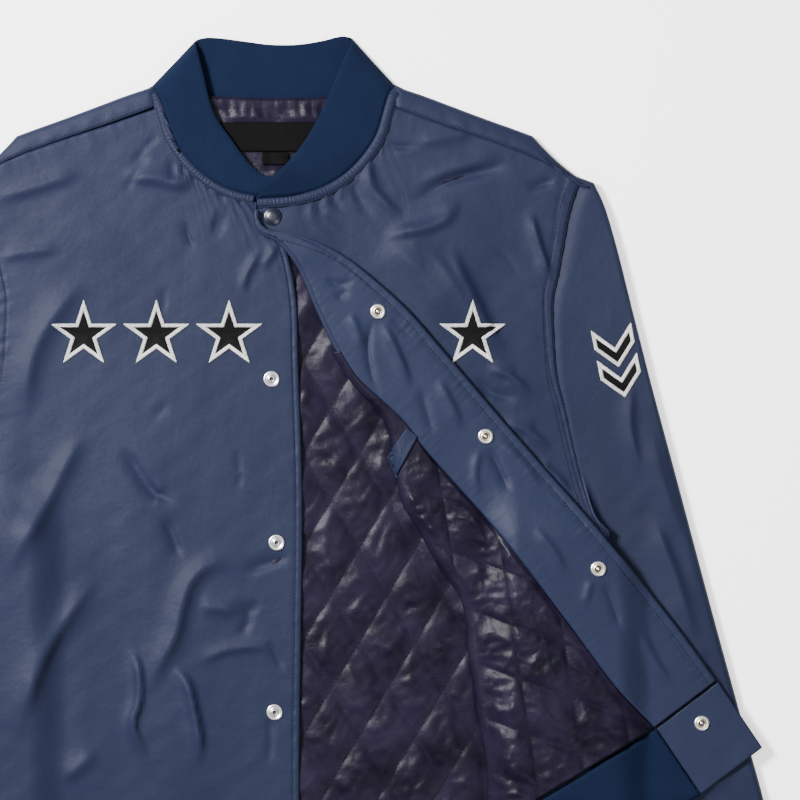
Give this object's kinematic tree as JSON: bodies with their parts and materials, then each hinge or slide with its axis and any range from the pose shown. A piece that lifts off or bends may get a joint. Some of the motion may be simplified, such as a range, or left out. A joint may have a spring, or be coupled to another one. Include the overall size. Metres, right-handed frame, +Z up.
{
  "type": "varsity jacket laid flat",
  "caption": "Nylon varsity jacket laid on its back, the left front turned back to show its quilted lining, with rib collar, cuffs and hem, and snap studs.",
  "frame": {"origin": "on the surface that the jacket lies on, under the middle of its back", "axes": "+X across the body towards the wearer's left sleeve, +Y up to the collar, +Z up from the surface"},
  "size_m": [0.8162, 0.7397, 0.0276],
  "materials": {
    "shell_navy": "woven nylon taffeta with a soft sheen",
    "facing_navy": "woven nylon taffeta, topstitched",
    "rib_navy": "fine rib knit, matte",
    "lining_plum": "diamond-quilted taffeta lining with a sheen",
    "twill_black": "black twill with a raised white satin-stitch edge",
    "label_black": "bare black damask ribbon",
    "snap_silver": "polished nickel plate",
    "cap_navy": "navy lacquer"
  },
  "bodies": {
    "root": {"back_shell": "shell_navy", "back_lining": "lining_plum", "front_right_shell": "shell_navy", "front_left_shell": "shell_navy", "front_left_facing": "facing_navy", "front_left_lining": "lining_plum", "sleeve_right": "shell_navy", "sleeve_left": "shell_navy", "cuff_right": "rib_navy", "cuff_left": "rib_navy", "collar_rib": "rib_navy", "hem_rib": "rib_navy", "placket_end_right": "shell_navy", "placket_end_left": "facing_navy", "neck_label": "label_black", "size_tab": "label_black", "inner_pocket_welt": "facing_navy", "collar_snap_cap": "cap_navy", "chest_star_left_1": "twill_black", "sleeve_chevron_1": "twill_black", "sleeve_chevron_2": "twill_black", "snap_stud_1": "snap_silver", "snap_socket_1": "snap_silver", "snap_stud_2": "snap_silver", "snap_socket_2": "snap_silver", "snap_stud_3": "snap_silver", "snap_socket_3": "snap_silver", "snap_stud_4": "snap_silver", "snap_socket_4": "snap_silver", "chest_star_right_1": "twill_black", "chest_star_right_2": "twill_black", "chest_star_right_3": "twill_black"}
  },
  "joints": []
}
